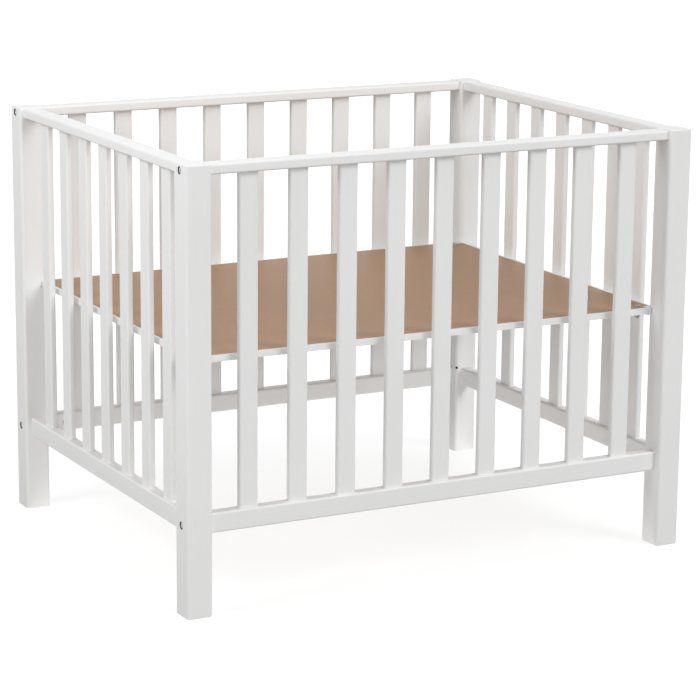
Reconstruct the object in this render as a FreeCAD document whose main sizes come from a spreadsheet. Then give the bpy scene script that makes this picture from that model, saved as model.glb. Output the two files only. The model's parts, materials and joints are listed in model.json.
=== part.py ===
import FreeCAD, Part
import os
import Sketcher

# Wooden playpen with a height-adjustable base.
# Frame: X runs along the long side, Y from front to back, Z up.
# The origin is on the floor, under the middle of the pen. Lengths are in millimetres.

Vector = FreeCAD.Vector
Rotation = FreeCAD.Rotation

SIZES = [
    # the whole pen
    ("pen_long", 1010), ("pen_wide", 800), ("pen_high", 785),
    # corner posts: across in X, deep in Y
    ("post_across", 48), ("post_deep", 50), ("post_round", 6), ("post_end_round", 2),
    # rails: the flat ones on top, the upright ones near the floor
    ("top_rail_high", 18), ("top_rail_deep", 36), ("top_rail_drop", 1),
    ("bottom_rail_high", 36), ("bottom_rail_deep", 24), ("bottom_rail_level", 145),
    ("rail_round", 4),
    # slats, let into mortises in the rails
    ("long_side_slats", 9), ("short_side_slats", 7),
    ("slat_wide", 36), ("slat_thick", 12), ("slat_round", 4),
    ("slat_tenon", 9), ("mortise_deep", 9.5), ("mortise_play", 0.2),
    # glued dowels that join the short sides' rails to the posts
    ("dowel_across", 7.9), ("dowel_hole", 8), ("side_dowel_half", 16), ("dowel_end_play", 0.5),
    ("dowel_spread", 9),
    # loose dowels that keep the long sides' rails from turning
    ("locating_dowel_in_post", 12), ("locating_dowel_in_rail", 18), ("locating_dowel_offset", 11),
    # bolts through the posts, and the barrel nuts in the rails that they pull on
    ("bolt_across", 6), ("bolt_hole", 6.5), ("bolt_reach", 90),
    ("head_across", 12), ("head_top_across", 8.6), ("head_high", 3.4),
    ("head_recess_across", 14), ("head_recess", 4.5),
    ("socket_corners", 4.6), ("socket_deep", 2.2),
    ("barrel_across", 10), ("barrel_hole", 10.2), ("barrel_long", 12), ("barrel_bore", 6.1),
    ("barrel_from_end", 38), ("rail_bolt_hole_deep", 56),
    # the base: a frame of thin rails with a hardboard panel let in flush
    ("base_level", 439), ("base_thick", 11), ("base_play", 2), ("base_rail_wide", 45),
    ("base_rim", 6), ("panel_thick", 3), ("panel_play", 0.3), ("cross_rail_wide", 44),
    ("base_dowel_across", 4.9), ("base_dowel_hole", 5), ("base_dowel_half", 14),
    ("base_dowel_spread", 13),
    # fittings that hold the base's corners
    ("eye_reach", 15.5), ("eye_ring_radius", 5.6), ("eye_wire_across", 4.6), ("eye_gap", 0.4),
    ("post_hole_across", 5), ("post_hole_deep", 24), ("low_hole_level", 182),
    ("pilot_hole_across", 3.5), ("pilot_hole_deep", 5), ("pilot_hole_inset", 11.6),
    ("base_bolt_hole", 6.4), ("base_head_across", 14), ("base_head_top_across", 9.6),
    ("base_head_high", 2.8), ("base_bolt_end", 427),
    ("hex_nut_flats", 10), ("hex_nut_high", 5), ("hex_nut_bore", 6.1),
]

document = FreeCAD.newDocument("Playpen")
sheet = document.addObject("Spreadsheet::Sheet", "Sizes")
for row, (word, value) in enumerate(SIZES, start=1):
    sheet.set("A%d" % row, word)
    sheet.set("B%d" % row, str(value))
    sheet.setAlias("B%d" % row, word)
document.recompute()

sub_parts = []


def value_of(expression):
    """The number that an expression on the sheet gives."""
    result = sheet.evalExpression(expression)
    return float(getattr(result, "Value", result))


def size(text):
    """Let every word of the sheet in an expression point to its cell."""
    words = sorted((word for word, _ in SIZES), key=len, reverse=True)
    pieces = []
    token = ""
    for letter in text + " ":
        if letter.isalnum() or letter == "_":
            token += letter
            continue
        pieces.append("Sizes." + token if token in words else token)
        pieces.append(letter)
        token = ""
    return "".join(pieces).strip()


def bind(thing, **places):
    """Bind properties to the sheet; a double underscore stands for a dot."""
    for name, text in places.items():
        thing.setExpression(name.replace("__", "."), size(text))


def put(thing, x="0", y="0", z="0", turn=None):
    """Place an object, turned by an axis and an angle when they are given."""
    if turn:
        thing.Placement = FreeCAD.Placement(Vector(), Rotation(Vector(*turn[0]), turn[1]))
    bind(thing, Placement__Base__x=x, Placement__Base__y=y, Placement__Base__z=z)
    return thing


def keep(thing, label):
    """List an object as a sub-part under its own name."""
    thing.Label = label
    sub_parts.append(thing)
    return thing


# ---------------------------------------------------------------- sketches and PartDesign steps

def sketch_on(body, role, x="0", y="0", z="0", turn=None):
    """A sketch on one of the body's own origin planes, moved in that plane's directions."""
    plane = next(item for item in body.Origin.OriginFeatures if item.Role == role)
    sketch = body.newObject("Sketcher::SketchObject", body.Name + "_sketch")
    sketch.AttachmentSupport = [(plane, "")]
    sketch.MapMode = "FlatFace"
    if turn:
        spin = Rotation(Vector(*turn[0]), turn[1])
        sketch.AttachmentOffset = FreeCAD.Placement(Vector(), spin)
    bind(sketch, AttachmentOffset__Base__x=x, AttachmentOffset__Base__y=y,
         AttachmentOffset__Base__z=z)
    return sketch


def name_last(sketch, name, text):
    """Name the newest constraint of a sketch and bind it to the sheet."""
    sketch.renameConstraint(sketch.ConstraintCount - 1, name)
    sketch.setExpression("Constraints." + name, size(text))


def draw_rounded_rectangle(sketch, across, up, corner):
    """A rectangle round the sketch's origin, with arcs for corners."""
    wide, high, bend = (value_of(size(text)) for text in (across, up, corner))
    right, top = wide / 2, high / 2
    quarter = 1.5707963267948966
    centres = [(right - bend, bend - top), (right - bend, top - bend),
               (bend - right, top - bend), (bend - right, bend - top)]
    line_ends = [((bend - right, -top), (right - bend, -top)),
                 ((right, bend - top), (right, top - bend)),
                 ((right - bend, top), (bend - right, top)),
                 ((-right, top - bend), (-right, bend - top))]
    for step in range(4):
        start, end = line_ends[step]
        sketch.addGeometry(Part.LineSegment(Vector(*start, 0), Vector(*end, 0)))
        circle = Part.Circle(Vector(*centres[step], 0), Vector(0, 0, 1), bend)
        sketch.addGeometry(Part.ArcOfCircle(circle, quarter * (step - 1), quarter * step))
    add = sketch.addConstraint
    for step in range(8):
        add(Sketcher.Constraint("Tangent", step, 2, (step + 1) % 8, 1))
    for line in (0, 4):
        add(Sketcher.Constraint("Horizontal", line))
        add(Sketcher.Constraint("Vertical", line + 2))
    for arc in (3, 5, 7):
        add(Sketcher.Constraint("Equal", 1, arc))
    add(Sketcher.Constraint("Symmetric", 1, 3, 5, 3, -1, 1))
    add(Sketcher.Constraint("Radius", 1, bend))
    name_last(sketch, "corner", corner)
    add(Sketcher.Constraint("DistanceX", 6, 1, 2, 1, wide))
    name_last(sketch, "across", across)
    add(Sketcher.Constraint("DistanceY", 0, 1, 4, 1, high))
    name_last(sketch, "up", up)


def draw_circle(sketch, across):
    """A circle round the sketch's origin."""
    diameter = value_of(size(across))
    sketch.addGeometry(Part.Circle(Vector(), Vector(0, 0, 1), diameter / 2))
    sketch.addConstraint(Sketcher.Constraint("Coincident", 0, 3, -1, 1))
    sketch.addConstraint(Sketcher.Constraint("Diameter", 0, diameter))
    name_last(sketch, "across", across)


def new_bar(label, role, across, up, corner, long, both_ways):
    """A body that starts as one straight bar of rounded-rectangle section."""
    body = document.addObject("PartDesign::Body", label)
    outline = sketch_on(body, role)
    draw_rounded_rectangle(outline, across, up, corner)
    pad = body.newObject("PartDesign::Pad", label + "_bar")
    pad.Profile = outline
    pad.SideType = "Symmetric" if both_ways else "One side"
    bind(pad, Length=long)
    document.recompute()
    return body


def cut_pocket(body, sketch, deep, onward):
    """Cut a sketch into the body, along its normal when onward, else against it."""
    before = body.Shape.Volume
    pocket = body.newObject("PartDesign::Pocket", body.Name + "_pocket")
    pocket.Profile = sketch
    pocket.Reversed = onward
    bind(pocket, Length=deep)
    document.recompute()
    if not body.Shape.Volume < before - 1:
        raise RuntimeError("a pocket cuts nothing from " + body.Name)
    return pocket


def drill(body, role, across, deep, onward, x="0", y="0", z="0", turn=None):
    """A round hole that starts in a plane of the body and runs out of it."""
    sketch = sketch_on(body, role, x, y, z, turn)
    draw_circle(sketch, across)
    return cut_pocket(body, sketch, deep, onward)


def mirrored(thing, normal, label):
    """The same piece on the other side of the pen's middle."""
    copy = document.addObject("Part::Mirroring", label)
    copy.Source = thing
    copy.Normal = Vector(*normal)
    return copy


def four_corners(label, things):
    """One node: a group of separate pieces, repeated at the pen's four corners."""
    links = list(things)
    for step, normal in enumerate(((1, 0, 0), (0, 1, 0))):
        links += [mirrored(thing, normal, label + "_mirror_%d" % step) for thing in list(links)]
    group = document.addObject("Part::Compound", label)
    group.Links = links
    return keep(group, label)


# ---------------------------------------------------------------- Part primitives

def block(name, long, wide, high, x, y, z):
    """A box with its lowest corner at x, y, z."""
    box = document.addObject("Part::Box", name)
    bind(box, Length=long, Width=wide, Height=high)
    return put(box, x, y, z)


def rod(name, across, long, x="0", y="0", z="0", turn=None):
    """A cylinder along +Z from its placement, or along where turn points it."""
    cylinder = document.addObject("Part::Cylinder", name)
    bind(cylinder, Radius="(%s) / 2" % across, Height=long)
    return put(cylinder, x, y, z, turn)


def boolean(kind, name, first, others):
    """A Part::Cut or Part::Fuse of one object with one or more others."""
    result = document.addObject(kind, name)
    if len(others) > 1:
        tools = document.addObject("Part::Compound", name + "_tools")
        tools.Links = others
    else:
        tools = others[0]
    result.Base = first
    result.Tool = tools
    return result


# ---------------------------------------------------------------- where things are

TOP_RAIL_MIDDLE = "(pen_high - top_rail_drop - top_rail_high / 2)"
BOTTOM_RAIL_MIDDLE = "(bottom_rail_level + bottom_rail_high / 2)"
POST_X = "(pen_long / 2 - post_across / 2)"
POST_Y = "(pen_wide / 2 - post_deep / 2)"
LONG_RAIL = "(pen_long - 2 * post_across)"
SHORT_RAIL = "(pen_wide - 2 * post_deep)"
LONG_PITCH = "((pen_long - 2 * post_across + slat_wide) / (long_side_slats + 1))"
SHORT_PITCH = "((pen_wide - 2 * post_deep + slat_wide) / (short_side_slats + 1))"
RAIL_LEVELS = (("top", TOP_RAIL_MIDDLE), ("bottom", BOTTOM_RAIL_MIDDLE))
EYE_LEVEL = "(base_level - eye_wire_across / 2)"
TURN_TO_X = ((0, 1, 0), 90)
TURN_TO_Y = ((1, 0, 0), -90)
TURN_TO_SHORT_SIDE = ((0, 0, 1), 90)


def dowel_offsets(level_name):
    """Sideways and upward offsets of a joint's two glued dowels."""
    if level_name == "top":
        return (("dowel_spread", "0"), ("-dowel_spread", "0"))
    return (("0", "dowel_spread"), ("0", "-dowel_spread"))


def locating_offset(level_name):
    """Inward and upward offsets of a long rail's loose dowel from its bolt."""
    if level_name == "top":
        return "-locating_dowel_offset", "0"
    return "0", "-locating_dowel_offset"


# ---------------------------------------------------------------- posts

def edges_at_ends(bar):
    """Names of the edges that lie wholly in an upright bar's two end faces."""
    names = []
    for number, edge in enumerate(bar.Shape.Edges, start=1):
        box = edge.BoundBox
        if box.ZMax - box.ZMin < 0.01:
            names.append("Edge%d" % number)
    return names


def make_front_left_post():
    """Its local origin is in the middle of its foot; its outer faces look to -X and -Y."""
    post = new_bar("post_front_left", "XY_Plane", "post_across", "post_deep", "post_round",
                   "pen_high", both_ways=False)
    bar = post.Tip
    fillet = post.newObject("PartDesign::Fillet", "post_end_fillet")
    fillet.Base = (bar, edges_at_ends(bar))
    bind(fillet, Radius="post_end_round")
    post.Tip = fillet
    document.recompute()
    for name, level in RAIL_LEVELS:
        drill(post, "YZ_Plane", "bolt_hole", "post_across + 2", False,
              y=level, z="post_across / 2 + 1")
        drill(post, "YZ_Plane", "head_recess_across", "head_recess + 1", False,
              y=level, z="head_recess - post_across / 2")
        inward, upward = locating_offset(name)
        drill(post, "YZ_Plane", "dowel_hole", "locating_dowel_in_post + 1", True,
              x=inward, y="%s + %s" % (level, upward),
              z="post_across / 2 - locating_dowel_in_post")
        for sideways, upward in dowel_offsets(name):
            drill(post, "XZ_Plane", "dowel_hole", "side_dowel_half + dowel_end_play + 1", False,
                  x=sideways, y="%s + %s" % (level, upward),
                  z="side_dowel_half + dowel_end_play - post_deep / 2")
    # the slanting holes for the corner eyes: one row in use, one spare row near the floor
    for level in (EYE_LEVEL, "low_hole_level"):
        drill(post, "XZ_Plane", "post_hole_across", "post_hole_deep + 2", False,
              x="post_across / 2 - post_hole_deep / sqrt(2)", y=level,
              z="post_hole_deep / sqrt(2) - post_deep / 2", turn=((0, 1, 0), -45))
    # a shallow pilot hole beside the upper one, in the face that looks along the short side
    drill(post, "XZ_Plane", "pilot_hole_across", "pilot_hole_deep + 1", False,
          x="post_across / 2 - pilot_hole_inset", y="base_level",
          z="pilot_hole_deep - post_deep / 2")
    return keep(put(post, "-" + POST_X, "-" + POST_Y), "post_front_left")


front_left_post = make_front_left_post()
front_right_post = keep(mirrored(front_left_post, (1, 0, 0), "post_front_right"),
                        "post_front_right")
keep(mirrored(front_left_post, (0, 1, 0), "post_back_left"), "post_back_left")
keep(mirrored(front_right_post, (0, 1, 0), "post_back_right"), "post_back_right")


# ---------------------------------------------------------------- rails

def cut_mortises(rail, level_name, high, pitch, count):
    """A row of mortises in the face that looks to the slats."""
    on_top = level_name == "bottom"
    floor = "%s / 2 - mortise_deep" % high if on_top else "mortise_deep - %s / 2" % high
    first = sketch_on(rail, "XY_Plane", x="-%s * (%s - 1) / 2" % (pitch, count), z=floor)
    draw_rounded_rectangle(first, "slat_wide + mortise_play", "slat_thick + mortise_play",
                           "slat_round + mortise_play / 2")
    pocket = cut_pocket(rail, first, "mortise_deep + 1", onward=on_top)
    row = rail.newObject("PartDesign::LinearPattern", rail.Name + "_mortises")
    row.Originals = [pocket]
    row.Direction = (first, ["H_Axis"])
    bind(row, Length="%s * (%s - 1)" % (pitch, count), Occurrences=count)
    rail.Tip = row
    document.recompute()


def drill_for_bolts(rail, level_name, deep, high):
    """Bolt holes, loose dowels' holes and barrel nuts' holes in a long rail's two ends."""
    inward, upward = locating_offset(level_name)
    half = LONG_RAIL + " / 2"
    for end, onward in (("-1", False), ("1", True)):
        drill(rail, "YZ_Plane", "bolt_hole", "rail_bolt_hole_deep + 1", onward,
              z="%s * (%s - rail_bolt_hole_deep)" % (end, half))
        drill(rail, "YZ_Plane", "dowel_hole",
              "locating_dowel_in_rail + dowel_end_play + 1", onward, x=inward, y=upward,
              z="%s * (%s - locating_dowel_in_rail - dowel_end_play)" % (end, half))
        nut_x = "%s * (%s - barrel_from_end)" % (end, half)
        if level_name == "top":
            drill(rail, "XY_Plane", "barrel_hole", "(%s + barrel_long) / 2 + 1" % high, False,
                  x=nut_x, z="barrel_long / 2")
        else:
            drill(rail, "XZ_Plane", "barrel_hole", "(%s + barrel_long) / 2 + 1" % deep, False,
                  x=nut_x, z="barrel_long / 2")


def drill_for_dowels(rail, level_name):
    """Two dowel holes in each end of a short rail."""
    reach = "side_dowel_half + dowel_end_play"
    for end, onward in (("-1", False), ("1", True)):
        for sideways, upward in dowel_offsets(level_name):
            drill(rail, "YZ_Plane", "dowel_hole", reach + " + 1", onward, x=sideways, y=upward,
                  z="%s * (%s / 2 - %s)" % (end, SHORT_RAIL, reach.replace("+", "-")))


def make_rail(level_name, level, side):
    """One rail, drawn along X about its own middle."""
    deep, high = level_name + "_rail_deep", level_name + "_rail_high"
    long_side = side == "front"
    length = LONG_RAIL if long_side else SHORT_RAIL
    label = "%s_rail_%s" % (level_name, side)
    rail = new_bar(label, "YZ_Plane", deep, high, "rail_round", length, both_ways=True)
    if long_side:
        cut_mortises(rail, level_name, high, LONG_PITCH, "long_side_slats")
        drill_for_bolts(rail, level_name, deep, high)
        put(rail, "0", "-" + POST_Y, level)
    else:
        cut_mortises(rail, level_name, high, SHORT_PITCH, "short_side_slats")
        drill_for_dowels(rail, level_name)
        put(rail, "-" + POST_X, "0", level, TURN_TO_SHORT_SIDE)
    return keep(rail, label)


for rail_name, rail_level in RAIL_LEVELS:
    front_rail = make_rail(rail_name, rail_level, "front")
    left_rail = make_rail(rail_name, rail_level, "left")
    back_label, right_label = rail_name + "_rail_back", rail_name + "_rail_right"
    keep(mirrored(front_rail, (0, 1, 0), back_label), back_label)
    keep(mirrored(left_rail, (1, 0, 0), right_label), right_label)


# ---------------------------------------------------------------- slats

SLAT_FOOT = "(bottom_rail_level + bottom_rail_high - slat_tenon)"
SLAT_LONG = ("(pen_high - top_rail_drop - top_rail_high - bottom_rail_level"
             " - bottom_rail_high + 2 * slat_tenon)")


def make_slats(side, count_word, pitch):
    """A row of slats, numbered from left to right, or from front to back."""
    count = int(value_of(size(count_word)))
    along_x = side in ("front", "back")
    across, deep = ("slat_wide", "slat_thick") if along_x else ("slat_thick", "slat_wide")
    sign = "-" if side in ("front", "left") else ""
    for number in range(1, count + 1):
        label = "slat_%s_%d" % (side, number)
        slat = new_bar(label, "XY_Plane", across, deep, "slat_round", SLAT_LONG, both_ways=False)
        along = "%s * (%d - (%s + 1) / 2)" % (pitch, number, count_word)
        if along_x:
            put(slat, along, sign + POST_Y, SLAT_FOOT)
        else:
            put(slat, sign + POST_X, along, SLAT_FOOT)
        keep(slat, label)


for slat_side in ("front", "back"):
    make_slats(slat_side, "long_side_slats", LONG_PITCH)
for slat_side in ("left", "right"):
    make_slats(slat_side, "short_side_slats", SHORT_PITCH)


# ---------------------------------------------------------------- base

# The base reaches past the posts' inner faces, so its corners are notched round the posts.
BASE_X = "(pen_long / 2 - post_across / 2 - bottom_rail_deep / 2 - base_play)"
BASE_Y = "(pen_wide / 2 - post_deep / 2 - bottom_rail_deep / 2 - base_play)"
NOTCH_X = "(%s - (pen_long / 2 - post_across - base_play))" % BASE_X
NOTCH_Y = "(%s - (pen_wide / 2 - post_deep - base_play))" % BASE_Y
PANEL_LEVEL = "(base_level + base_thick - panel_thick)"
EYE_X = "(pen_long / 2 - post_across - eye_reach)"
EYE_Y = "(pen_wide / 2 - post_deep - eye_reach)"


def notched_plate(name, inset, level, high):
    """A plate of the base's outline, drawn in by inset, with its four corners notched."""
    half_x, half_y = "(%s - %s)" % (BASE_X, inset), "(%s - %s)" % (BASE_Y, inset)
    plate = block(name + "_blank", "2 * " + half_x, "2 * " + half_y, high,
                  "-" + half_x, "-" + half_y, level)
    notches = []
    for end_x, at_x in (("left", "-%s - 1" % half_x), ("right", "%s - %s" % (half_x, NOTCH_X))):
        for end_y, at_y in (("front", "-%s - 1" % half_y),
                            ("back", "%s - %s" % (half_y, NOTCH_Y))):
            notches.append(block("%s_notch_%s_%s" % (name, end_x, end_y),
                                 NOTCH_X + " + 1", NOTCH_Y + " + 1", high + " + 2",
                                 at_x, at_y, level + " - 1"))
    return boolean("Part::Cut", name + "_outline", plate, notches)


def rods_at_eyes(name, across, low, long):
    """Four upright rods, one at each corner eye."""
    rods = []
    for sign_x in ("", "-"):
        for sign_y in ("", "-"):
            rods.append(rod(name + "_hole", across, long, sign_x + EYE_X, sign_y + EYE_Y, low))
    return rods


def base_dowel_rods(name, across, half):
    """Dowels, or their holes, in the base frame's front left quarter: (rod, where)."""
    seam_y = "(%s - base_rail_wide)" % BASE_Y
    wood_middle = "(base_level + (base_thick - panel_thick) / 2)"
    side_middle = "(%s - base_rail_wide / 2)" % BASE_X
    places = ["-%s - base_dowel_spread" % side_middle, "-%s + base_dowel_spread" % side_middle,
              "-base_dowel_spread"]
    return [rod(name, across, "2 * " + half, place, "-%s - %s" % (seam_y, half), wood_middle,
                TURN_TO_Y) for place in places]


def make_base():
    """The hardboard panel, the four rails round it and the rail across the middle."""
    panel = notched_plate("panel", "(base_rim + panel_play)", PANEL_LEVEL, "panel_thick")
    drilled = boolean("Part::Cut", "base_panel", panel,
                      rods_at_eyes("panel", "base_bolt_hole", PANEL_LEVEL + " - 1",
                                   "panel_thick + 2"))
    keep(drilled, "base_panel")

    recess = notched_plate("recess", "base_rim", PANEL_LEVEL, "panel_thick + 1")
    outline = notched_plate("base", "0", "base_level", "base_thick")
    bolt_holes = rods_at_eyes("frame", "base_bolt_hole", "base_level - 1", "base_thick + 2")
    quarter = base_dowel_rods("dowel_hole", "base_dowel_hole", "(base_dowel_half + 0.5)")
    dowel_holes = quarter + [mirrored(hole, (1, 0, 0), "dowel_hole_right") for hole in quarter]
    dowel_holes += [mirrored(hole, (0, 1, 0), "dowel_hole_back") for hole in list(dowel_holes)]
    whole = boolean("Part::Cut", "base_frame_blank", outline,
                    [recess] + bolt_holes + dowel_holes)
    # each rail is the stretch of the whole frame that its own block marks out
    inner_x, inner_y = "(%s - base_rail_wide)" % BASE_X, "(%s - base_rail_wide)" % BASE_Y
    stretches = {
        "base_rail_front": ("2 * " + BASE_X, "base_rail_wide", "-" + BASE_X, "-" + BASE_Y),
        "base_rail_back": ("2 * " + BASE_X, "base_rail_wide", "-" + BASE_X, inner_y),
        "base_rail_left": ("base_rail_wide", "2 * " + inner_y, "-" + BASE_X, "-" + inner_y),
        "base_rail_right": ("base_rail_wide", "2 * " + inner_y, inner_x, "-" + inner_y),
        "base_rail_middle": ("cross_rail_wide", "2 * " + inner_y, "-cross_rail_wide / 2",
                             "-" + inner_y),
    }
    for label, (long, wide, x, y) in stretches.items():
        stretch = block(label + "_stretch", long, wide, "base_thick", x, y, "base_level")
        keep(boolean("Part::Common", label, whole, [stretch]), label)


make_base()


# ---------------------------------------------------------------- fasteners and fittings

def socket_head(name, across, top_across, high):
    """A low domed head on the XY plane, with a hexagon socket in its top."""
    cone = document.addObject("Part::Cone", name + "_cone")
    bind(cone, Radius1=across + " / 2", Radius2=top_across + " / 2", Height=high)
    socket = document.addObject("Part::Prism", name + "_socket")
    socket.Polygon = 6
    bind(socket, Circumradius="socket_corners / 2", Height="socket_deep + 1")
    put(socket, z="%s - socket_deep" % high)
    return boolean("Part::Cut", name + "_head", cone, [socket])


def make_panel_bolts():
    """Bolts through the posts into the long rails; each head lies in a recess."""
    bolts = []
    for name, level in RAIL_LEVELS:
        head = socket_head("panel_bolt_" + name, "head_across", "head_top_across", "head_high")
        shank = rod("panel_shank_" + name, "bolt_across", "bolt_reach", z="-bolt_reach")
        bolt = boolean("Part::Fuse", "panel_bolt_" + name, head, [shank])
        bolts.append(put(bolt, "head_recess - pen_long / 2", "-" + POST_Y, level,
                         ((0, 1, 0), -90)))
    four_corners("panel_bolts", bolts)


def make_barrel_nuts():
    """Short round nuts that lie across the long rails, each with a bore for its bolt."""
    nut_x = "-(%s / 2 - barrel_from_end)" % LONG_RAIL
    nuts = []
    for name, level in RAIL_LEVELS:
        upright = name == "top"
        start = ("-" + POST_Y, "%s - barrel_long / 2" % level) if upright else (
            "-%s - barrel_long / 2" % POST_Y, level)
        barrel = rod("barrel_" + name, "barrel_across", "barrel_long", nut_x, *start,
                     None if upright else TURN_TO_Y)
        bore = rod("barrel_bore_" + name, "barrel_bore", "barrel_across + 2",
                   "%s - barrel_across / 2 - 1" % nut_x, "-" + POST_Y, level, TURN_TO_X)
        nuts.append(boolean("Part::Cut", "barrel_nut_" + name, barrel, [bore]))
    four_corners("barrel_nuts", nuts)


def make_dowels():
    """Glued dowels of the short sides and loose dowels of the long sides."""
    glued, loose = [], []
    seam_y = "-(pen_wide / 2 - post_deep)"
    seam_x = "-(pen_long / 2 - post_across)"
    for name, level in RAIL_LEVELS:
        for sideways, upward in dowel_offsets(name):
            glued.append(rod("side_dowel", "dowel_across", "2 * side_dowel_half",
                             "-%s + %s" % (POST_X, sideways), seam_y + " - side_dowel_half",
                             "%s + %s" % (level, upward), TURN_TO_Y))
        inward, upward = locating_offset(name)
        loose.append(rod("locating_dowel", "dowel_across",
                         "locating_dowel_in_post + locating_dowel_in_rail",
                         seam_x + " - locating_dowel_in_post", "-%s + %s" % (POST_Y, inward),
                         "%s + %s" % (level, upward), TURN_TO_X))
    four_corners("side_dowels", glued)
    four_corners("locating_dowels", loose)
    right_half = base_dowel_rods("base_dowel", "base_dowel_across", "base_dowel_half")
    four_corners("base_dowels", right_half)


def make_corner_eye():
    """A ring under the base, with a stem that points at the post's inner corner."""
    ring = document.addObject("Part::Torus", "eye_ring")
    bind(ring, Radius1="eye_ring_radius", Radius2="eye_wire_across / 2")
    corner_inset = "(sqrt(2) - 1) * post_round"
    reach = "(sqrt(2) * eye_reach + %s - eye_gap)" % corner_inset
    stem = rod("eye_stem", "eye_wire_across", "%s - eye_ring_radius" % reach,
               "-eye_ring_radius / sqrt(2)", "-eye_ring_radius / sqrt(2)",
               turn=((1, -1, 0), 90))
    eye = boolean("Part::Fuse", "corner_eye", ring, [stem])
    four_corners("corner_eyes", [put(eye, "-" + EYE_X, "-" + EYE_Y, EYE_LEVEL)])


def make_base_fasteners():
    """Bolts down through the base and the eyes, and a nut under each."""
    top = "(base_level + base_thick)"
    head = socket_head("base_bolt", "base_head_across", "base_head_top_across",
                       "base_head_high")
    shank_long = "(%s - base_bolt_end)" % top
    shank = rod("base_shank", "bolt_across", shank_long, z="-" + shank_long)
    bolt = boolean("Part::Fuse", "base_bolt", head, [shank])
    four_corners("base_bolts", [put(bolt, "-" + EYE_X, "-" + EYE_Y, top)])

    nut_blank = document.addObject("Part::Prism", "hex_nut_blank")
    nut_blank.Polygon = 6
    bind(nut_blank, Circumradius="hex_nut_flats / sqrt(3)", Height="hex_nut_high")
    bore = rod("hex_nut_bore", "hex_nut_bore", "hex_nut_high + 2", z="-1")
    nut = boolean("Part::Cut", "hex_nut", nut_blank, [bore])
    nut_level = "base_level - eye_wire_across - hex_nut_high"
    four_corners("base_nuts", [put(nut, "-" + EYE_X, "-" + EYE_Y, nut_level)])


make_panel_bolts()
make_barrel_nuts()
make_dowels()
make_corner_eye()
make_base_fasteners()


# ---------------------------------------------------------------- check and write

document.recompute()
for thing in document.Objects:
    if any(word in thing.State for word in ("Invalid", "Error")):
        raise RuntimeError("%s (%s) failed: %s" % (thing.Label, thing.Name, thing.State))
for thing in sub_parts:
    if thing.Shape.isNull() or not thing.Shape.isValid():
        raise RuntimeError(thing.Label + " has no valid shape")

os.makedirs("parts", exist_ok=True)
for thing in sub_parts:
    thing.Shape.exportStep(os.path.join("parts", thing.Label + ".step"))
    box = thing.Shape.BoundBox
    print("%-18s %2d solid(s)  x %.1f..%.1f  y %.1f..%.1f  z %.1f..%.1f" % (
        thing.Label, len(thing.Shape.Solids), box.XMin, box.XMax, box.YMin, box.YMax,
        box.ZMin, box.ZMax))
print(len(sub_parts), "sub-parts written")
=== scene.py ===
"""Looks for the wooden playpen: white lacquered wood, a brown hardboard base, zinc-plated steel."""
import json
import math

import bmesh
import bpy
from mathutils import Matrix, Vector


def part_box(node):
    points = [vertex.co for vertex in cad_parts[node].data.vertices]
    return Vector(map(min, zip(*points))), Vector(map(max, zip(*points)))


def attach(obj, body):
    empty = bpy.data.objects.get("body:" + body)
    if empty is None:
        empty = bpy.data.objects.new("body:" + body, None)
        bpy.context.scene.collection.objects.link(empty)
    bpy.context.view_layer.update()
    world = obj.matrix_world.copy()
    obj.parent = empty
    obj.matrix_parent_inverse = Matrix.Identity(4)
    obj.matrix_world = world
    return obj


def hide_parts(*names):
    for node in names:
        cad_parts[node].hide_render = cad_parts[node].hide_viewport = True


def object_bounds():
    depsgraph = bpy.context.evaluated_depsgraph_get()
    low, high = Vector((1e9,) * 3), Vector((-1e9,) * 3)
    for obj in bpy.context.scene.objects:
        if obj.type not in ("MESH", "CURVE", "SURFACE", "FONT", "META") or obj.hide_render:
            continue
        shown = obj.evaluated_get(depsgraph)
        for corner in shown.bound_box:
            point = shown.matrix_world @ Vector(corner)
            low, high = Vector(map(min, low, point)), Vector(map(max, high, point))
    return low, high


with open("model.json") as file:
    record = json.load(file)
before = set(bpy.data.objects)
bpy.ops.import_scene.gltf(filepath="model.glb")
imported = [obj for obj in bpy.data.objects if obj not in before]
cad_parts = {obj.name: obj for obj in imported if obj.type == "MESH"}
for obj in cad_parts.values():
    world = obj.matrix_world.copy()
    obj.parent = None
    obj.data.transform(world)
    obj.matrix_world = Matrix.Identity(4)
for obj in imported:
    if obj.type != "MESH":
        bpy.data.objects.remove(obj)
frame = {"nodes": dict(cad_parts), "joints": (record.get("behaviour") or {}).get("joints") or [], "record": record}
cad_low, cad_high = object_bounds()
nodes = frame["nodes"]
MM = 0.001
TAU = 2 * math.pi
M6_RADIUS, M6_PITCH = 3.0 * MM, 1.0 * MM
CORNERS = [(x, y) for x in (-1, 1) for y in (-1, 1)]
SHARP_ANGLE = math.radians(32)

# sizes of the fasteners and their holes, as in the CAD
PANEL_BOLT_LONG, PANEL_BOLT_THREADED = 90.0 * MM, 34.0 * MM
PANEL_HEAD_RADIUS, PANEL_HEAD_HIGH = 6.0 * MM, 3.4 * MM
RECESS_RADIUS, RECESS_DEEP = 7.0 * MM, 4.5 * MM
BASE_HEAD_RADIUS, BASE_BOLT_THREADED = 7.0 * MM, 15.0 * MM
NUT_APOTHEM, NUT_BORE_RADIUS = 5.0 * MM, 3.05 * MM
EYE_RING_RADIUS, EYE_HOLE_RADIUS = 5.6 * MM, 2.5 * MM


# ---------------------------------------------------------------- shader helpers

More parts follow.
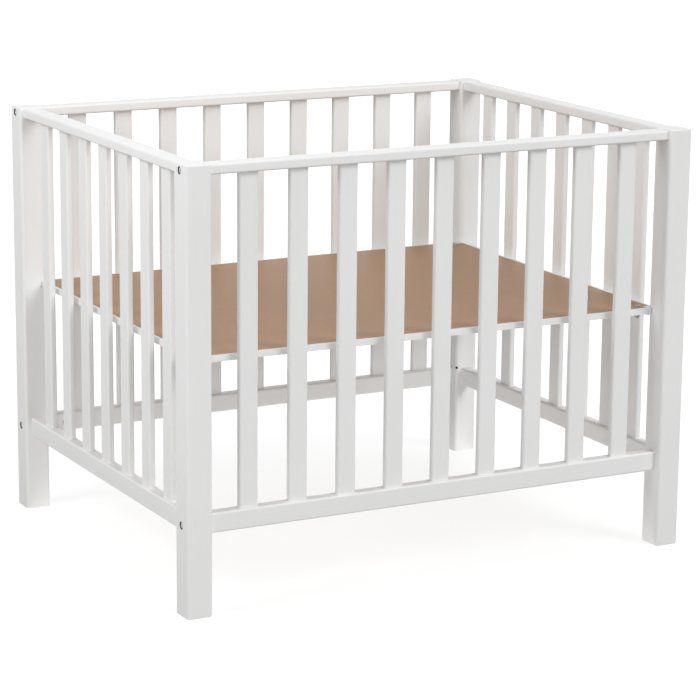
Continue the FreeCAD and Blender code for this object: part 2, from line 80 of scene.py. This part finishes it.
class Shader:
    """A material with a Principled BSDF and short ways to add nodes to it."""

    def __init__(self, name, **constants):
        self.material = bpy.data.materials.new(name)
        self.material.use_nodes = True
        self.tree = self.material.node_tree
        self.bsdf = self.tree.nodes["Principled BSDF"]
        for socket, value in constants.items():
            self.bsdf.inputs[socket.replace("_", " ")].default_value = value
        self.coordinates = self.tree.nodes.new("ShaderNodeTexCoord").outputs["Object"]

    def link(self, source, target):
        self.tree.links.new(source, target)

    def value(self, target, value):
        """Set an input to a number, or link an output into it."""
        if isinstance(value, bpy.types.NodeSocket):
            self.link(value, target)
        else:
            target.default_value = value

    def math(self, operation, first, second=0.0):
        node = self.tree.nodes.new("ShaderNodeMath")
        node.operation = operation
        self.value(node.inputs[0], first)
        self.value(node.inputs[1], second)
        return node.outputs[0]

    def vector_math(self, operation, first, second=(0, 0, 0)):
        """A vector operation that gives a number."""
        node = self.tree.nodes.new("ShaderNodeVectorMath")
        node.operation = operation
        self.link(first, node.inputs[0])
        node.inputs[1].default_value = second
        return node.outputs["Value"]

    def parts(self, vector):
        """The X, Y and Z outputs of a vector."""
        node = self.tree.nodes.new("ShaderNodeSeparateXYZ")
        self.link(vector, node.inputs[0])
        return node.outputs

    def stretched(self, scale):
        node = self.tree.nodes.new("ShaderNodeMapping")
        node.inputs["Scale"].default_value = scale
        self.link(self.coordinates, node.inputs["Vector"])
        return node.outputs[0]

    def noise(self, scale, detail=4.0, rough=0.5, stretch=(1, 1, 1), distortion=0.0):
        node = self.tree.nodes.new("ShaderNodeTexNoise")
        node.inputs["Scale"].default_value = scale
        node.inputs["Detail"].default_value = detail
        node.inputs["Roughness"].default_value = rough
        node.inputs["Distortion"].default_value = distortion
        self.link(self.stretched(stretch), node.inputs["Vector"])
        return node.outputs["Fac"]

    def ramp(self, factor, stops):
        node = self.tree.nodes.new("ShaderNodeValToRGB")
        ramp = node.color_ramp
        while len(ramp.elements) < len(stops):
            ramp.elements.new(0.5)
        for element, (place, colour) in zip(ramp.elements, stops):
            element.position = place
            element.color = (*colour, 1.0)
        self.link(factor, node.inputs["Fac"])
        return node.outputs["Color"]

    def mix(self, factor, first, second, blend="MIX"):
        node = self.tree.nodes.new("ShaderNodeMix")
        node.data_type = "RGBA"
        node.blend_type = blend
        self.value(node.inputs["Factor"], factor)
        for name, value in (("A", first), ("B", second)):
            socket = next(s for s in node.inputs if s.name == name and s.type == "RGBA")
            self.value(socket, value if isinstance(value, bpy.types.NodeSocket) else (*value, 1))
        return next(s for s in node.outputs if s.type == "RGBA")

    def span(self, factor, low, high, to_low, to_high):
        node = self.tree.nodes.new("ShaderNodeMapRange")
        for name, value in (("From Min", low), ("From Max", high), ("To Min", to_low),
                            ("To Max", to_high)):
            node.inputs[name].default_value = value
        self.value(node.inputs["Value"], factor)
        return node.outputs["Result"]

    def bump(self, height, strength, distance, below=None):
        node = self.tree.nodes.new("ShaderNodeBump")
        node.inputs["Strength"].default_value = strength
        node.inputs["Distance"].default_value = distance
        self.link(height, node.inputs["Height"])
        if below is not None:
            self.link(below, node.inputs["Normal"])
        return node.outputs["Normal"]

    def set(self, socket, source):
        self.link(source, self.bsdf.inputs[socket])


def inside_bores(shader, bores):
    """1 inside any of the bores, which are the same in all four quarters of the pen, else 0.

    A bore is the direction across it in plan, a point on its axis, its radius, and the
    low and high limits along X that end it.
    """
    x, y, z = shader.parts(shader.coordinates)
    quarter = shader.tree.nodes.new("ShaderNodeCombineXYZ")
    quarter_x = shader.math("ABSOLUTE", x)
    shader.link(quarter_x, quarter.inputs[0])
    shader.link(shader.math("ABSOLUTE", y), quarter.inputs[1])

    def squared(value, middle):
        off = shader.math("SUBTRACT", value, middle)
        return shader.math("MULTIPLY", off, off)

    mask = 0.0
    for across, point, radius, low, high in bores:
        sideways = shader.vector_math("DOT_PRODUCT", quarter.outputs[0], across)
        away = shader.math("ADD", squared(sideways, Vector(across).dot(point)),
                           squared(z, point[2]))
        inside = shader.math("LESS_THAN", away, radius ** 2)
        inside = shader.math("MULTIPLY", inside, shader.math("GREATER_THAN", quarter_x, low))
        inside = shader.math("MULTIPLY", inside, shader.math("LESS_THAN", quarter_x, high))
        mask = shader.math("MAXIMUM", inside, mask)
    return mask


def post_bores():
    """The holes in a post that are painted dark inside, as bare wood and painted shade: its bolt recesses and
    corner-eye holes.
    """
    low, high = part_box("post_back_right")
    middle = (low + high) / 2
    skin = 0.05 * MM
    bores = []
    for level in ("top", "bottom"):
        rail_low, rail_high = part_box(level + "_rail_back")
        point = (high.x, middle.y, (rail_low.z + rail_high.z) / 2)
        bores.append(((0, 1, 0), point, RECESS_RADIUS + skin,
                      high.x - RECESS_DEEP - 2 * skin, high.x - skin))
    eye_low, eye_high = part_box("corner_eyes")
    eye_level = (eye_low.z + eye_high.z) / 2
    slide = next(joint for joint in frame["joints"] if joint["name"] == "base_height")
    diagonal = Vector((1, -1, 0)).normalized()
    for level in (eye_level, eye_level + slide["range_m"][0]):
        bores.append((diagonal, (low.x, low.y, level), EYE_HOLE_RADIUS + 4 * skin,
                      low.x - 1.0 * MM, middle.x))
    return bores


def white_lacquer(name, grain_axis, bores=()):
    """Satin white lacquer on fine-grained wood; the grain runs along one axis and just shows. Inside any bores
    given, it is painted dark, partly as bare wood and partly as painted shade.
    """
    shader = Shader(name, Specular_IOR_Level=0.22, Coat_Weight=0.03, Coat_Roughness=0.30)
    along = [1.0, 1.0, 1.0]
    along[grain_axis] = 0.035
    cloud = shader.noise(3.2, 2, 0.5)
    fibre = shader.noise(420, 5, 0.62, along, 0.25)
    pores = shader.noise(1500, 2, 0.5, along)
    peel = shader.noise(520, 2, 0.5)
    tone = shader.ramp(cloud, [(0.3, (0.80, 0.80, 0.795)), (0.7, (0.825, 0.825, 0.822))])
    streaks = shader.ramp(fibre, [(0.32, (0.988, 0.987, 0.984)), (0.6, (1.0, 1.0, 1.0))])
    colour = shader.mix(1.0, tone, streaks, "MULTIPLY")
    if bores:
        # inside the bores the colour is painted near-black brown, much darker than bare beech: partly bare wood,
        # partly painted shade in the recesses
        bare_wood_and_painted_shade = shader.ramp(fibre, [(0.3, (0.08, 0.072, 0.065)), (0.7, (0.14, 0.127, 0.114))])
        colour = shader.mix(inside_bores(shader, bores), colour, bare_wood_and_painted_shade)
    shader.set("Base Color", colour)
    shader.set("Roughness", shader.span(fibre, 0.3, 0.7, 0.56, 0.50))
    relief = shader.bump(fibre, 0.10, 0.00020)
    relief = shader.bump(pores, 0.06, 0.00010, relief)
    shader.set("Normal", shader.bump(peel, 0.10, 0.00020, relief))
    return shader.material


def hardboard():
    """Smooth pressed brown board with fine fibres on top, and its screen print underneath."""
    shader = Shader("brown_hardboard", Specular_IOR_Level=0.25)
    cloud = shader.noise(5.0, 4, 0.55, (1.6, 0.7, 1))
    fleck = shader.noise(900, 4, 0.7, (1, 0.45, 1), 0.6)
    fibre = shader.noise(260, 5, 0.65, (1, 0.6, 1), 1.2)
    tone = shader.ramp(cloud, [(0.28, (0.350, 0.197, 0.103)), (0.72, (0.405, 0.233, 0.125))])
    specks = shader.ramp(fleck, [(0.30, (0.74, 0.70, 0.66)), (0.47, (1, 1, 1)),
                                 (0.72, (1.09, 1.08, 1.06))])
    fibres = shader.ramp(fibre, [(0.34, (0.90, 0.88, 0.86)), (0.60, (1, 1, 1))])
    colour = shader.mix(1.0, shader.mix(1.0, tone, specks, "MULTIPLY"), fibres, "MULTIPLY")
    # the underside is darker and carries the pattern of the wire screen it was pressed on
    mesh_width = 1.6 * MM
    waves = []
    for place in shader.parts(shader.coordinates)[:2]:
        turn = shader.math("MULTIPLY", place, math.pi / mesh_width)
        waves.append(shader.math("ABSOLUTE", shader.math("SINE", turn)))
    screen = shader.math("MULTIPLY", *waves)
    geometry = shader.tree.nodes.new("ShaderNodeNewGeometry")
    upward = shader.parts(geometry.outputs["Normal"])[2]
    under = shader.math("LESS_THAN", upward, -0.5)
    darker = shader.mix(1.0, colour, (0.74, 0.72, 0.70), "MULTIPLY")
    shader.set("Base Color", shader.mix(under, colour, darker))
    smooth = shader.span(cloud, 0.3, 0.7, 0.40, 0.48)
    shader.set("Roughness", shader.math("ADD", smooth, shader.math("MULTIPLY", under, 0.3)))
    relief = shader.bump(fibre, 0.12, 0.00012)
    printed = shader.math("MULTIPLY", screen, under)
    shader.set("Normal", shader.bump(printed, 0.9, 0.0005, relief))
    return shader.material


def zinc(name, tint, roughness):
    """Zinc plating: fine tumbled marks, and slightly dull in places."""
    shader = Shader(name, Metallic=1.0)
    cloud = shader.noise(160, 3, 0.6)
    marks = shader.noise(2600, 3, 0.6)
    darker = tuple(channel * 0.86 for channel in tint)
    shader.set("Base Color", shader.ramp(cloud, [(0.3, darker), (0.65, tint)]))
    shader.set("Roughness", shader.span(cloud, 0.3, 0.7, roughness + 0.1, roughness))
    shader.set("Normal", shader.bump(marks, 0.15, 0.00006))
    return shader.material


def beech():
    """Bare beech with its short dark flecks."""
    shader = Shader("beech", Roughness=0.6)
    grain = shader.noise(300, 5, 0.6, (1, 1, 0.2), 0.5)
    fleck = shader.noise(900, 2, 0.5, (1, 0.3, 1))
    tone = shader.ramp(grain, [(0.3, (0.50, 0.31, 0.17)), (0.7, (0.66, 0.45, 0.27))])
    dots = shader.ramp(fleck, [(0.3, (0.7, 0.62, 0.55)), (0.42, (1, 1, 1))])
    shader.set("Base Color", shader.mix(1.0, tone, dots, "MULTIPLY"))
    shader.set("Normal", shader.bump(grain, 0.3, 0.0002))
    return shader.material


LACQUER = {axis: white_lacquer("white_lacquer_along_" + "xyz"[axis], axis) for axis in range(3)}
POST_LACQUER = white_lacquer("white_lacquer_posts", 2, post_bores())
HARDBOARD = hardboard()
ZINC = zinc("zinc_plated_steel", (0.62, 0.625, 0.63), 0.22)
# a copy of the zinc for the base's bolts, nuts and eyes: a little rougher, and its much darker tint is painted
# shade
DULL_ZINC_PAINTED_SHADE = zinc("dull_zinc_plated_steel", (0.36, 0.36, 0.355), 0.30)
BEECH = beech()


# ---------------------------------------------------------------- the wooden parts

def longest_axis(name):
    """The axis, 0 to 2, along which a node is longest."""
    low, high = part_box(name)
    sizes = high - low
    return max(range(3), key=lambda axis: sizes[axis])


def paint(obj, material):
    obj.data.materials.clear()
    obj.data.materials.append(material)


for entry in frame["record"]["subparts"]:
    node, slot_name = nodes[entry["node"]], entry["material_slot"]
    if entry["node"].startswith("post_"):
        paint(node, POST_LACQUER)
    elif slot_name == "white_lacquered_wood":
        paint(node, LACQUER[longest_axis(entry["node"])])
    elif slot_name == "brown_hardboard":
        paint(node, HARDBOARD)
    elif slot_name == "beech_dowel":
        paint(node, BEECH)
    else:
        paint(node, ZINC)


# ---------------------------------------------------------------- turned and threaded steel parts

def circle(radius):
    """The radius of a circle at any angle."""
    return lambda angle: radius


def hexagon(apothem, limit=None):
    """Radius of a hexagon at an angle, cut off at a round limit as a chamfer does."""
    def radius(angle):
        off = (angle + TAU / 12) % (TAU / 6) - TAU / 12
        reach = apothem / math.cos(off)
        return reach if limit is None else min(reach, limit)
    return radius


def thread_rings(start, end, outer, depth, pitch, steps):
    """Rings of a helical thread from one height to another, fading out at both ends."""
    rings = []
    count = max(2, round(abs(end - start) / pitch * steps))
    for step in range(count + 1):
        z = start + (end - start) * step / count
        fade = min(1.0, abs(end - z) / pitch, abs(z - start) / pitch + 0.2)

        def radius(angle, z=z, fade=fade):
            phase = (z / pitch - angle / TAU) % 1.0
            crest = 1.0 - abs(2.0 * phase - 1.0)
            flat = min(1.0, max(0.0, 1.35 * crest - 0.15))
            return outer - depth * (1.0 - flat * fade)
        rings.append((radius, z))
    return rings


def turned(rings, segments):
    """A closed mesh through a stack of rings; each ring gives its radius at an angle."""
    mesh = bmesh.new()
    angles = [TAU * i / segments for i in range(segments)]
    loops = []
    for radius, z in rings:
        loops.append([mesh.verts.new((radius(angle) * math.cos(angle),
                                      radius(angle) * math.sin(angle), z)) for angle in angles])
    for lower, upper in zip(loops, loops[1:]):
        for i in range(segments):
            j = (i + 1) % segments
            mesh.faces.new((lower[i], lower[j], upper[j], upper[i]))
    for loop, z in ((loops[0], rings[0][1]), (loops[-1], rings[-1][1])):
        centre = mesh.verts.new((0, 0, z))
        for i in range(segments):
            mesh.faces.new((loop[i], loop[(i + 1) % segments], centre))
    bmesh.ops.recalc_face_normals(mesh, faces=mesh.faces)
    return mesh


def socket_bolt(head_radius, head_high, crown, socket_apothem, socket_deep, shank_radius,
                length, threaded, segments, steps):
    """A bolt along Z: the head stands on the XY plane and the shank hangs below it.

    The head's top is domed, and the crown is how far it falls from its middle to its edge.
    """
    # the socket, from its pointed bottom up to its rim
    rings = [(circle(0.35 * socket_apothem), head_high - socket_deep - 0.3 * MM),
             (hexagon(socket_apothem * 0.97), head_high - socket_deep),
             (hexagon(socket_apothem), head_high - socket_deep + 0.15 * MM),
             (hexagon(socket_apothem), head_high - 0.55 * MM),
             (hexagon(socket_apothem * 1.04), head_high - 0.25 * MM)]
    rim = socket_apothem * 1.32
    crest = rim * 1.08
    top = head_high - 0.01 * MM
    rings += [(circle(rim), head_high - 0.04 * MM), (circle(crest), top)]
    dome_steps = 8
    for step in range(1, dome_steps + 1):
        share = step / dome_steps
        drop = crown * (1 - math.cos(share * TAU / 4))
        rings.append((circle(crest + (head_radius - crest) * share), top - drop))
    # the head's edge and underside, the plain shank, the thread and the point
    rings += [(circle(head_radius), 0.12 * MM), (circle(head_radius - 0.12 * MM), 0.0),
              (circle(shank_radius + 0.35 * MM), 0.0), (circle(shank_radius), -0.35 * MM),
              (circle(shank_radius), -(length - threaded))]
    rings += thread_rings(-(length - threaded) - 0.2 * MM, -(length - 0.7 * MM), shank_radius,
                          depth=0.55 * MM, pitch=M6_PITCH, steps=steps)
    rings += [(circle(shank_radius - 0.6 * MM), -(length - 0.35 * MM)),
              (circle(shank_radius - 0.95 * MM), -length)]
    return turned(rings, segments)


def hex_nut(apothem, high, bore_radius):
    """A hexagon nut that stands on the XY plane, chamfered on both faces, with a bored hole."""
    corner = apothem / math.cos(TAU / 12)
    face = apothem * 0.95
    chamfer = []
    for step in range(1, 4):
        inward = (corner - face) * step / 3
        chamfer.append((hexagon(apothem, face + inward), inward * 0.5))
    rings = [(circle(bore_radius), 0.35 * MM), (circle(bore_radius + 0.4 * MM), 0.0),
             (circle(face), 0.0)]
    rings += chamfer
    rings += [(radius, high - z) for radius, z in reversed(chamfer)]
    rings += [(circle(face), high), (circle(bore_radius + 0.4 * MM), high),
              (circle(bore_radius), high - 0.35 * MM)]
    mesh = turned(rings, 48)
    # join the two bore rings instead of leaving the flat lids that turned() makes
    on_axis = 1e-7
    lids = [vertex for vertex in mesh.verts if vertex.co.xy.length < on_axis]
    bmesh.ops.delete(mesh, geom=lids, context="VERTS")
    mesh.edges.ensure_lookup_table()
    bmesh.ops.bridge_loops(mesh, edges=[edge for edge in mesh.edges if edge.is_boundary])
    bmesh.ops.recalc_face_normals(mesh, faces=mesh.faces)
    return mesh


def placed(source, matrix):
    """A copy of a mesh under a matrix; a mirroring matrix keeps its faces turned outwards."""
    copy = source.copy()
    bmesh.ops.transform(copy, matrix=matrix, verts=copy.verts)
    if matrix.determinant() < 0:
        bmesh.ops.reverse_faces(copy, faces=copy.faces)
    return copy


def make_piece(name, meshes, material, body, node_name):
    """One steel object from several meshes, shaded smooth except at its sharp edges."""
    data = bpy.data.meshes.new(name)
    whole = bmesh.new()
    for mesh in meshes:
        part = bpy.data.meshes.new("part")
        mesh.to_mesh(part)
        whole.from_mesh(part)
        bpy.data.meshes.remove(part)
    whole.to_mesh(data)
    data.materials.append(material)
    data.shade_smooth()
    data.set_sharp_from_angle(angle=SHARP_ANGLE)
    obj = bpy.data.objects.new(name, data)
    bpy.context.scene.collection.objects.link(obj)
    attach(obj, body)
    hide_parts(node_name)


def make_panel_bolts():
    """The eight bolts through the posts into the long rails, two at each corner of the pen."""
    bolt = socket_bolt(head_radius=PANEL_HEAD_RADIUS, head_high=PANEL_HEAD_HIGH, crown=0.9 * MM,
                       socket_apothem=2.5 * MM, socket_deep=2.5 * MM, shank_radius=M6_RADIUS,
                       length=PANEL_BOLT_LONG, threaded=PANEL_BOLT_THREADED, segments=36, steps=4)
    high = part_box("panel_bolts")[1]
    post_low, post_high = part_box("post_back_right")
    y = (post_low.y + post_high.y) / 2
    meshes = []
    for level in ("top", "bottom"):
        rail_low, rail_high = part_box(level + "_rail_front")
        z = (rail_low.z + rail_high.z) / 2
        for sign_x, sign_y in CORNERS:
            outward = Matrix.Rotation(sign_x * TAU / 4, 4, "Y")
            start = Vector((sign_x * (high.x - PANEL_HEAD_HIGH), sign_y * y, z))
            spin = Matrix.Rotation(math.radians(17 + 23 * len(meshes)), 4, "Z")
            meshes.append(placed(bolt, Matrix.Translation(start) @ outward @ spin))
    make_piece("panel_bolts_detailed", meshes, ZINC, "frame", "panel_bolts")


def make_base_fittings():
    """The base's bolts and nuts; gives the place in plan of the back right bolt."""
    bolts_low, bolts_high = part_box("base_bolts")
    panel_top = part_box("base_panel")[1].z
    x, y = bolts_high.x - BASE_HEAD_RADIUS, bolts_high.y - BASE_HEAD_RADIUS
    head_high = bolts_high.z - panel_top
    bolt = socket_bolt(head_radius=BASE_HEAD_RADIUS, head_high=head_high,
                       crown=head_high - 0.45 * MM, socket_apothem=2.0 * MM,
                       socket_deep=1.7 * MM, shank_radius=M6_RADIUS,
                       length=panel_top - bolts_low.z, threaded=BASE_BOLT_THREADED,
                       segments=48, steps=6)
    nut_low, nut_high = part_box("base_nuts")
    nut = hex_nut(NUT_APOTHEM, nut_high.z - nut_low.z, NUT_BORE_RADIUS)
    bolts, nuts = [], []
    for sign_x, sign_y in CORNERS:
        spin = Matrix.Rotation(math.radians(11 + 37 * len(bolts)), 4, "Z")
        place = Matrix.Translation((sign_x * x, sign_y * y, panel_top))
        bolts.append(placed(bolt, place @ spin))
        place = Matrix.Translation((sign_x * x, sign_y * y, nut_low.z))
        nuts.append(placed(nut, place @ spin))
    make_piece("base_bolts_detailed", bolts, DULL_ZINC_PAINTED_SHADE, "base", "base_bolts")
    make_piece("base_nuts_detailed", nuts, DULL_ZINC_PAINTED_SHADE, "base", "base_nuts")
    return x, y


def bent_eye(ring_radius, wire_radius, reach):
    """The two closed meshes of a screw eye: a ring of wire, and a threaded stem along +X."""
    mesh = bmesh.new()
    around, section = 48, 16
    loops = []
    for i in range(around):
        angle = TAU * i / around
        loop = []
        for j in range(section):
            turn = TAU * j / section
            reach_out = ring_radius + wire_radius * math.cos(turn)
            loop.append(mesh.verts.new((reach_out * math.cos(angle), reach_out * math.sin(angle),
                                        wire_radius * math.sin(turn))))
        loops.append(loop)
    for i in range(around):
        for j in range(section):
            k, m = (i + 1) % around, (j + 1) % section
            mesh.faces.new((loops[i][j], loops[k][j], loops[k][m], loops[i][m]))
    bmesh.ops.recalc_face_normals(mesh, faces=mesh.faces)
    neck = [(circle(wire_radius * 0.6), ring_radius - 0.6 * wire_radius),
            (circle(wire_radius * 0.98), ring_radius),
            (circle(wire_radius), ring_radius + 1.2 * wire_radius),
            (circle(wire_radius), ring_radius + 2.2 * wire_radius)]
    start = ring_radius + 2.3 * wire_radius
    neck += thread_rings(start, reach - 0.5 * MM, wire_radius, depth=0.6 * MM, pitch=1.6 * MM,
                         steps=7)
    neck += [(circle(wire_radius - 0.7 * MM), reach - 0.3 * MM),
             (circle(wire_radius - 1.0 * MM), reach)]
    stem = turned(neck, 24)
    return mesh, placed(stem, Matrix.Rotation(TAU / 4, 4, "Y"))


def joined(first, second):
    """The union of two closed meshes as one closed mesh."""
    objects = []
    for mesh in (first, second):
        data = bpy.data.meshes.new("union")
        mesh.to_mesh(data)
        obj = bpy.data.objects.new("union", data)
        bpy.context.scene.collection.objects.link(obj)
        objects.append(obj)
    cut = objects[0].modifiers.new("union", "BOOLEAN")
    cut.operation = "UNION"
    cut.solver = "EXACT"
    cut.object = objects[1]
    bpy.context.view_layer.update()
    graph = bpy.context.evaluated_depsgraph_get()
    result = bmesh.new()
    result.from_mesh(objects[0].evaluated_get(graph).to_mesh())
    for obj in objects:
        bpy.data.objects.remove(obj)
    return result


def make_corner_eyes(x, y):
    """The screw eyes round the base's bolts, whose places in plan are x and y either way."""
    low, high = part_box("corner_eyes")
    wire = (high.z - low.z) / 2
    level = (high.z + low.z) / 2
    reach_x = high.x - x - wire * math.sin(TAU / 8)
    reach = reach_x / math.cos(TAU / 8)
    eye = joined(*bent_eye(EYE_RING_RADIUS, wire, reach))
    eyes = []
    for sign_x, sign_y in CORNERS:
        turn = Matrix.Rotation(math.atan2(sign_y, sign_x), 4, "Z")
        eyes.append(placed(eye, Matrix.Translation((sign_x * x, sign_y * y, level)) @ turn))
    make_piece("corner_eyes_detailed", eyes, DULL_ZINC_PAINTED_SHADE, "base", "corner_eyes")


make_panel_bolts()
make_corner_eyes(*make_base_fittings())


# ---------------------------------------------------------------- floor, light and camera

WHITE = (1, 1, 1, 1)
# a sun: its name, the way to it, its strength and its width in degrees
SUNS = [
    ("high_sun", (0.42, -0.72, 0.55), 1.18, 30),
    ("back_sun", (0.60, 0.75, 0.25), 1.40, 80),
]
# a softbox: its name, its place and what it faces, its side in metres, its watts and its colour
SOFTBOXES = [
    ("camera_softbox", (-3.48, -6.57, 2.05), (0.0, 0.0, 0.4), 0.8, 98, (1, 1, 1)),
    ("top_softbox", (0.05, -0.30, 2.30), (0.0, -0.1, 0.5), 1.2, 2.5, (0.94, 0.99, 1.05)),
    ("front_softbox", (1.90, -2.60, 2.00), (0.3, -0.37, 0.5), 1.4, 13, (1, 1, 1)),
    ("left_softbox", (-2.80, -0.95, 1.30), (-0.5, -0.1, 0.4), 1.5, 6, (1, 1, 1)),
    ("high_left_softbox", (-3.00, -0.10, 2.20), (0.3, 0.0, 0.5), 1.6, 45, (1, 1, 1)),
]


def make_sheet(name, height, shader, x=40.0, y=40.0):
    """A level sheet of staging; x and y are half its sides."""
    data = bpy.data.meshes.new(name)
    data.from_pydata([(-x, -y, height), (x, -y, height), (x, y, height), (-x, y, height)],
                     [], [(0, 1, 2, 3)])
    data.materials.append(shader.material)
    sheet = bpy.data.objects.new(name, data)
    bpy.context.scene.collection.objects.link(sheet)
    return sheet


def make_floor():
    """The pale floor that is seen, which glows as painted light, fainter near the pen than far off; and two sheets
    under it that set how much light it returns.
    """
    shader = Shader("pale_floor", Roughness=0.9, Specular_IOR_Level=0.1,
                    Emission_Color=WHITE)
    cloud = shader.noise(0.8, 2)
    shader.set("Base Color", shader.ramp(cloud, [(0.3, (0.29, 0.29, 0.29)),
                                                 (0.7, (0.31, 0.31, 0.31))]))
    # the floor's glow is painted light: it rises from 0.74 near the pen to 0.98 far off, so the far floor shows
    # white
    away = shader.vector_math("LENGTH", shader.coordinates)
    shader.set("Emission Strength", shader.span(away, 0.5, 2.4, 0.74, 0.98))
    floor = make_sheet("floor", 0.0, shader)
    floor.visible_diffuse = False
    floor.visible_shadow = False
    shader = Shader("grey_bounce", Roughness=1.0, Specular_IOR_Level=0.0,
                    Base_Color=(0.30, 0.30, 0.30, 1))
    grey = make_sheet("grey_sheet", -2 * MM, shader)
    shader = Shader("under_light", Roughness=1.0, Specular_IOR_Level=0.0,
                    Emission_Color=WHITE, Emission_Strength=0.5)
    lit = make_sheet("lit_sheet", -1 * MM, shader, cad_high.x, cad_high.y)
    for sheet in (grey, lit):
        sheet.visible_camera = False
        sheet.visible_glossy = False


def make_backdrop():
    """A plain white dome that is seen and reflected, and lights nothing."""
    data = bpy.data.meshes.new("backdrop")
    dome = bmesh.new()
    bmesh.ops.create_uvsphere(dome, u_segments=48, v_segments=24, radius=60.0)
    dome.to_mesh(data)
    shader = Shader("white_backdrop", Roughness=1.0, Specular_IOR_Level=0.0,
                    Base_Color=(0, 0, 0, 1), Emission_Color=WHITE, Emission_Strength=1.0)
    data.materials.append(shader.material)
    backdrop = bpy.data.objects.new("backdrop", data)
    bpy.context.scene.collection.objects.link(backdrop)
    for rays in ("diffuse", "transmission", "volume_scatter", "shadow"):
        setattr(backdrop, "visible_" + rays, False)


def make_softbox(name, place, target, side, power, colour):
    """A square soft light that faces a target; the camera doesn't see the box itself."""
    data = bpy.data.lights.new(name, "AREA")
    data.shape = "SQUARE"
    data.size = side
    data.energy = power
    data.color = colour
    box = bpy.data.objects.new(name, data)
    box.location = place
    box.rotation_mode = "QUATERNION"
    box.rotation_quaternion = (Vector(place) - Vector(target)).to_track_quat("Z", "Y")
    box.visible_camera = False
    bpy.context.scene.collection.objects.link(box)


def make_sun(name, toward, strength, softness):
    """A soft far light; toward is the way from the object to it."""
    data = bpy.data.lights.new(name, "SUN")
    data.energy = strength
    data.angle = math.radians(softness)
    sun = bpy.data.objects.new(name, data)
    sun.rotation_mode = "QUATERNION"
    sun.rotation_quaternion = Vector(toward).to_track_quat("Z", "Y")
    bpy.context.scene.collection.objects.link(sun)


def make_camera():
    """The photograph's viewing angle: turned to the right of straight ahead, and dipped."""
    data = bpy.data.cameras.new("camera")
    data.lens = 138.17
    data.sensor_width = 36.0
    data.clip_end = 200.0
    camera = bpy.data.objects.new("camera", data)
    place = Vector((-2.318, -4.383, 1.4935))
    turn, dip, roll = math.radians(28.05), math.radians(13.09), math.radians(0.52)
    level = Matrix.Rotation(-turn, 4, "Z") @ Matrix.Rotation(TAU / 4 - dip, 4, "X")
    camera.matrix_world = Matrix.Translation(place) @ level @ Matrix.Rotation(roll, 4, "Z")
    bpy.context.scene.collection.objects.link(camera)
    bpy.context.scene.camera = camera


def make_world():
    """A plain white sky, which lights every side a little."""
    world = bpy.data.worlds.new("studio")
    world.use_nodes = True
    sky = world.node_tree.nodes["Background"]
    sky.inputs["Color"].default_value = WHITE
    sky.inputs["Strength"].default_value = 0.35
    bpy.context.scene.world = world


make_floor()
make_backdrop()
make_world()
for sun in SUNS:
    make_sun(*sun)
for softbox in SOFTBOXES:
    make_softbox(*softbox)
make_camera()
bpy.context.scene.view_settings.view_transform = "Standard"
